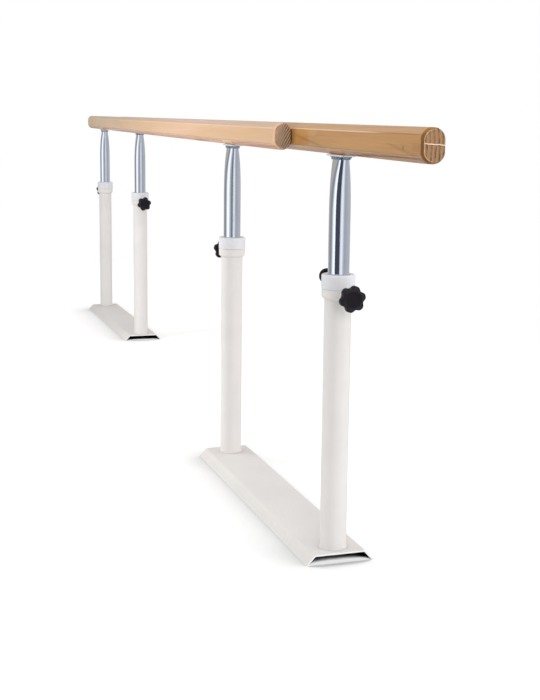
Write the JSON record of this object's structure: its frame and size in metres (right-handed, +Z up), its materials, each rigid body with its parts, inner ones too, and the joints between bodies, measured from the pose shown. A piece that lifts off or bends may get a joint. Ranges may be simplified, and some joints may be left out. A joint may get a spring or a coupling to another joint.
{
  "type": "walking parallel bars",
  "caption": "Folding walking parallel bars: wooden handrails on telescopic clamped posts that pivot in folded steel base plates, shown folded for storage.",
  "frame": {"origin": "on the floor at the middle of the folded assembly", "axes": "+X along the handrails to the far end, +Y to the left of someone who looks along +X, +Z up"},
  "size_m": [3.771, 0.171, 0.781],
  "materials": {
    "powder_coat": "white powder coat, satin",
    "cap_plastic": "white moulded plastic, satin",
    "chrome": "bright chrome plate",
    "zinc": "zinc plated",
    "wood_tan": "clear satin varnish on tan hardwood",
    "wood_beech": "clear satin varnish on beech",
    "knob_plastic": "black moulded plastic",
    "bush_plastic": "natural nylon",
    "brass": "turned brass"
  },
  "bodies": {
    "near_base": {"near_base_plate": "powder_coat", "near_right_outer_tube": "powder_coat", "near_right_clamp_ring": "powder_coat", "near_left_outer_tube": "powder_coat", "near_left_clamp_ring": "powder_coat"},
    "far_base": {"far_base_plate": "powder_coat", "far_right_outer_tube": "powder_coat", "far_right_clamp_ring": "powder_coat", "far_left_outer_tube": "powder_coat", "far_left_clamp_ring": "powder_coat"},
    "right_guides": {"near_right_swivel_cap": "cap_plastic", "far_right_swivel_cap": "cap_plastic", "stop_screw_insert": "brass"},
    "left_guides": {"near_left_swivel_cap": "cap_plastic", "far_left_swivel_cap": "cap_plastic"},
    "right_rail": {"right_handrail": "wood_tan", "near_right_inner_tube": "chrome", "near_right_guide_bush": "bush_plastic", "near_right_bracket": "zinc", "near_right_screw_1": "zinc", "near_right_screw_2": "zinc", "near_right_screw_3": "zinc", "near_right_screw_4": "zinc", "far_right_inner_tube": "chrome", "far_right_guide_bush": "bush_plastic", "far_right_bracket": "zinc", "far_right_screw_1": "zinc", "far_right_screw_2": "zinc", "far_right_screw_3": "zinc", "far_right_screw_4": "zinc"},
    "left_rail": {"left_handrail": "wood_beech", "near_left_inner_tube": "chrome", "near_left_guide_bush": "bush_plastic", "near_left_bracket": "zinc", "near_left_screw_1": "zinc", "near_left_screw_2": "zinc", "near_left_screw_3": "zinc", "near_left_screw_4": "zinc", "far_left_inner_tube": "chrome", "far_left_guide_bush": "bush_plastic", "far_left_bracket": "zinc", "far_left_screw_1": "zinc", "far_left_screw_2": "zinc", "far_left_screw_3": "zinc", "far_left_screw_4": "zinc"},
    "near_right_pad": {"near_right_brake_pad": "bush_plastic"},
    "near_right_knob": {"near_right_star_knob": "knob_plastic", "near_right_knob_stud": "zinc"},
    "near_left_pad": {"near_left_brake_pad": "bush_plastic"},
    "near_left_knob": {"near_left_star_knob": "knob_plastic", "near_left_knob_stud": "zinc"},
    "far_right_pad": {"far_right_brake_pad": "bush_plastic"},
    "far_right_knob": {"far_right_star_knob": "knob_plastic", "far_right_knob_stud": "zinc"},
    "far_left_pad": {"far_left_brake_pad": "bush_plastic"},
    "far_left_knob": {"far_left_star_knob": "knob_plastic", "far_left_knob_stud": "zinc"},
    "stop_tip": {"stop_screw_tip": "bush_plastic"},
    "stop_knob": {"stop_screw_knob": "knob_plastic", "stop_screw_stud": "zinc"}
  },
  "joints": [
    {"name": "fold", "type": "hinge", "parent": "near_base", "child": "right_guides", "pos_m": [-1.46549, -0.0185, 0.494], "axis": [0, 0, -1], "range_deg": [0, 86.84]},
    {"name": "far_fold", "type": "hinge", "parent": "right_guides", "child": "far_base", "pos_m": [0.79451, -0.0185, 0.494], "axis": [0, 0, 1], "range_deg": [0, 86.84]},
    {"name": "left_fold", "type": "hinge", "parent": "near_base", "child": "left_guides", "pos_m": [-0.79451, 0.0185, 0.494], "axis": [0, 0, -1], "range_deg": [0, 86.84]},
    {"name": "right_height", "type": "slide", "parent": "right_guides", "child": "right_rail", "axis": [0, 0, 1], "range_m": [-0.095, 0.19]},
    {"name": "left_height", "type": "slide", "parent": "left_guides", "child": "left_rail", "axis": [0, 0, 1], "range_m": [-0.095, 0.19]},
    {"name": "near_right_pad_travel", "type": "slide", "parent": "near_base", "child": "near_right_pad", "axis": [-0.9985, -0.0551, 0], "range_m": [0, 0.0045]},
    {"name": "near_right_knob_turn", "type": "hinge", "parent": "near_right_pad", "child": "near_right_knob", "pos_m": [-1.46549, -0.0185, 0.48475], "axis": [-0.9985, -0.0551, 0], "range_deg": [-6, 1086]},
    {"name": "near_left_pad_travel", "type": "slide", "parent": "near_base", "child": "near_left_pad", "axis": [0.9985, 0.0551, 0], "range_m": [0, 0.0045]},
    {"name": "near_left_knob_turn", "type": "hinge", "parent": "near_left_pad", "child": "near_left_knob", "pos_m": [-0.79451, 0.0185, 0.48475], "axis": [0.9985, 0.0551, 0], "range_deg": [-6, 1086]},
    {"name": "far_right_pad_travel", "type": "slide", "parent": "far_base", "child": "far_right_pad", "axis": [-0.9985, -0.0551, 0], "range_m": [0, 0.0045]},
    {"name": "far_right_knob_turn", "type": "hinge", "parent": "far_right_pad", "child": "far_right_knob", "pos_m": [0.79451, -0.0185, 0.48475], "axis": [-0.9985, -0.0551, 0], "range_deg": [-6, 1086]},
    {"name": "far_left_pad_travel", "type": "slide", "parent": "far_base", "child": "far_left_pad", "axis": [0.9985, 0.0551, 0], "range_m": [0, 0.0045]},
    {"name": "far_left_knob_turn", "type": "hinge", "parent": "far_left_pad", "child": "far_left_knob", "pos_m": [1.46549, 0.0185, 0.48475], "axis": [0.9985, 0.0551, 0], "range_deg": [-6, 1086]},
    {"name": "stop_tip_travel", "type": "slide", "parent": "right_guides", "child": "stop_tip", "axis": [0.9985, 0.0551, 0], "range_m": [0, 0.003]},
    {"name": "stop_knob_turn", "type": "hinge", "parent": "stop_tip", "child": "stop_knob", "pos_m": [-1.46549, -0.0185, 0.509], "axis": [0.9985, 0.0551, 0], "range_deg": [-6, 1086]}
  ],
  "couplings": [
    {"joint": "far_fold", "follows": "fold", "ratio": 1},
    {"joint": "left_fold", "follows": "fold", "ratio": 1},
    {"joint": "near_right_knob_turn", "follows": "near_right_pad_travel", "rad_per_m": 4188.8},
    {"joint": "near_left_knob_turn", "follows": "near_left_pad_travel", "rad_per_m": 4188.8},
    {"joint": "far_right_knob_turn", "follows": "far_right_pad_travel", "rad_per_m": 4188.8},
    {"joint": "far_left_knob_turn", "follows": "far_left_pad_travel", "rad_per_m": 4188.8},
    {"joint": "stop_knob_turn", "follows": "stop_tip_travel", "rad_per_m": 6283.2}
  ]
}
